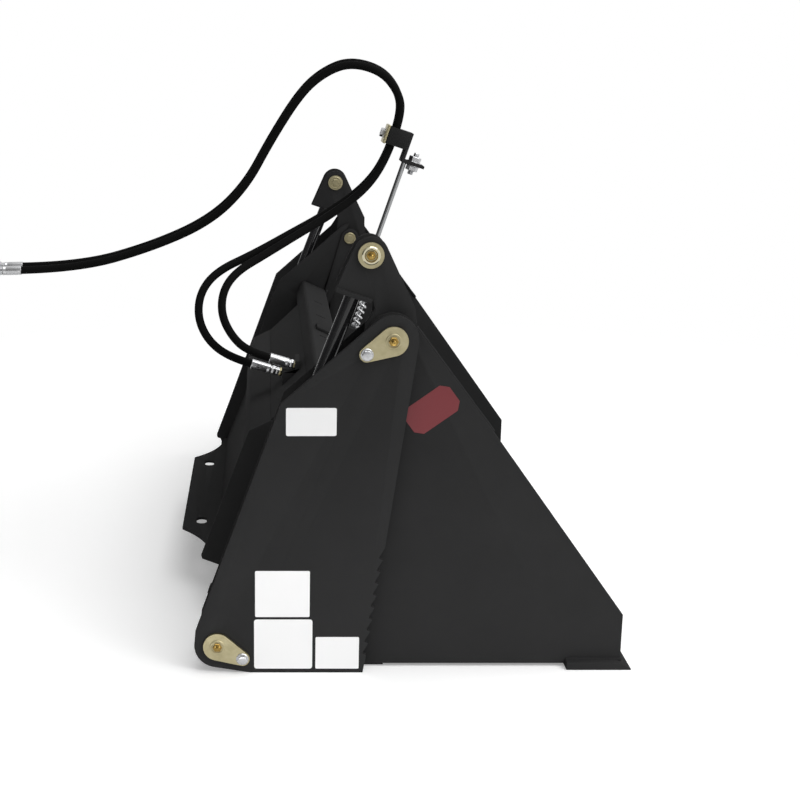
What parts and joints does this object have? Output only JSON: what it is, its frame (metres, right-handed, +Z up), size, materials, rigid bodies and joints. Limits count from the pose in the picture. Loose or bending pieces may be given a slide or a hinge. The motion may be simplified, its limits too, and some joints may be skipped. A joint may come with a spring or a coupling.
{
  "type": "four-in-one skid-steer bucket",
  "caption": "Skid-steer bucket whose hinged clamshell front is opened by twin hydraulic cylinders, with a loader attachment plate behind and a sprung hose support above.",
  "frame": {"origin": "on the ground, midway between the rear tip of the attachment plate and the front cutting edge, and midway between the side plates", "axes": "+X forwards to the cutting edge, +Y to the machine's left, +Z up"},
  "size_m": [1.684, 1.859, 1.3846],
  "materials": {
    "black_paint": "satin black powder coat on steel",
    "zinc_yellow": "yellow zinc plate",
    "nitrided_rod": "black nitrided and polished",
    "bright_steel": "bright zinc plate",
    "bare_steel": "machined steel",
    "hose_rubber": "matt black hose cover",
    "black_plastic": "moulded clamp block",
    "bronze": "plain bearing bronze"
  },
  "bodies": {
    "bucket": {"attach_end_plates": "black_paint", "attach_plate": "black_paint", "attach_ribs": "black_paint", "base_collars": "black_paint", "base_pins": "zinc_yellow", "clamp_plate": "zinc_yellow", "coupler_a": "bright_steel", "coupler_b": "bright_steel", "cross_tube": "black_paint", "cylinder_lugs": "black_paint", "flag_bolts": "zinc_yellow", "hinge_ears": "black_paint", "hinge_pins": "zinc_yellow", "hose_a": "hose_rubber", "hose_b": "hose_rubber", "hose_clamp": "black_plastic", "hose_fitting_a": "bright_steel", "hose_fitting_b": "bright_steel", "inner_side_plates": "black_paint", "moldboard": "black_paint", "mount_cover": "black_paint", "port_block": "black_paint", "rear_cutting_edge": "black_paint", "side_plate_left": "black_paint", "side_plate_right": "black_paint", "support_bolt": "bright_steel", "support_bracket": "black_paint", "support_foot": "black_paint", "support_holder": "black_paint", "support_rod": "bright_steel", "support_spring": "bright_steel", "thrust_washers": "zinc_yellow"},
    "clamshell": {"clam_arm_left": "black_paint", "clam_arm_right": "black_paint", "clam_cutting_edge": "black_paint", "clam_floor": "black_paint", "clam_rear_lip": "black_paint", "clam_side_left": "black_paint", "clam_side_right": "black_paint", "clevis_ear_left": "black_paint", "clevis_ear_right": "black_paint", "hinge_bushes": "bronze", "hinge_hubs": "black_paint", "rod_pin_heads": "zinc_yellow"},
    "barrel_right": {"cylinder_barrel_right": "black_paint", "cylinder_gland_right": "black_paint"},
    "barrel_left": {"cylinder_barrel_left": "black_paint", "cylinder_gland_left": "black_paint"},
    "rod_right": {"piston_right": "bare_steel", "piston_rod_right": "nitrided_rod", "rod_pin_centre_right": "zinc_yellow"},
    "rod_left": {"piston_left": "bare_steel", "piston_rod_left": "nitrided_rod", "rod_pin_centre_left": "zinc_yellow"}
  },
  "joints": [
    {"name": "clam_hinge", "type": "hinge", "parent": "bucket", "child": "clamshell", "pos_m": [-0.034, 0, 0.791], "axis": [0, -1, 0], "range_deg": [0, 95]},
    {"name": "barrel_swing_right", "type": "hinge", "parent": "bucket", "child": "barrel_right", "pos_m": [-0.4275, -0.8305, 0.067], "axis": [0, -1, 0], "range_deg": [0, 2.75]},
    {"name": "barrel_swing_left", "type": "hinge", "parent": "bucket", "child": "barrel_left", "pos_m": [-0.4275, 0.8305, 0.067], "axis": [0, -1, 0], "range_deg": [0, 2.75]},
    {"name": "rod_slide_right", "type": "slide", "parent": "barrel_right", "child": "rod_right", "axis": [0.3545, 0, 0.9351], "range_m": [-0.28, 0]},
    {"name": "rod_slide_left", "type": "slide", "parent": "barrel_left", "child": "rod_left", "axis": [0.3545, 0, 0.9351], "range_m": [-0.28, 0]}
  ],
  "couplings": [
    {"joint": "barrel_swing_right", "follows": "clam_hinge", "ratio": 0.028232},
    {"joint": "barrel_swing_left", "follows": "clam_hinge", "ratio": 0.028232},
    {"joint": "rod_slide_right", "follows": "clam_hinge", "m_per_rad": -0.16743},
    {"joint": "rod_slide_left", "follows": "clam_hinge", "m_per_rad": -0.16743}
  ]
}
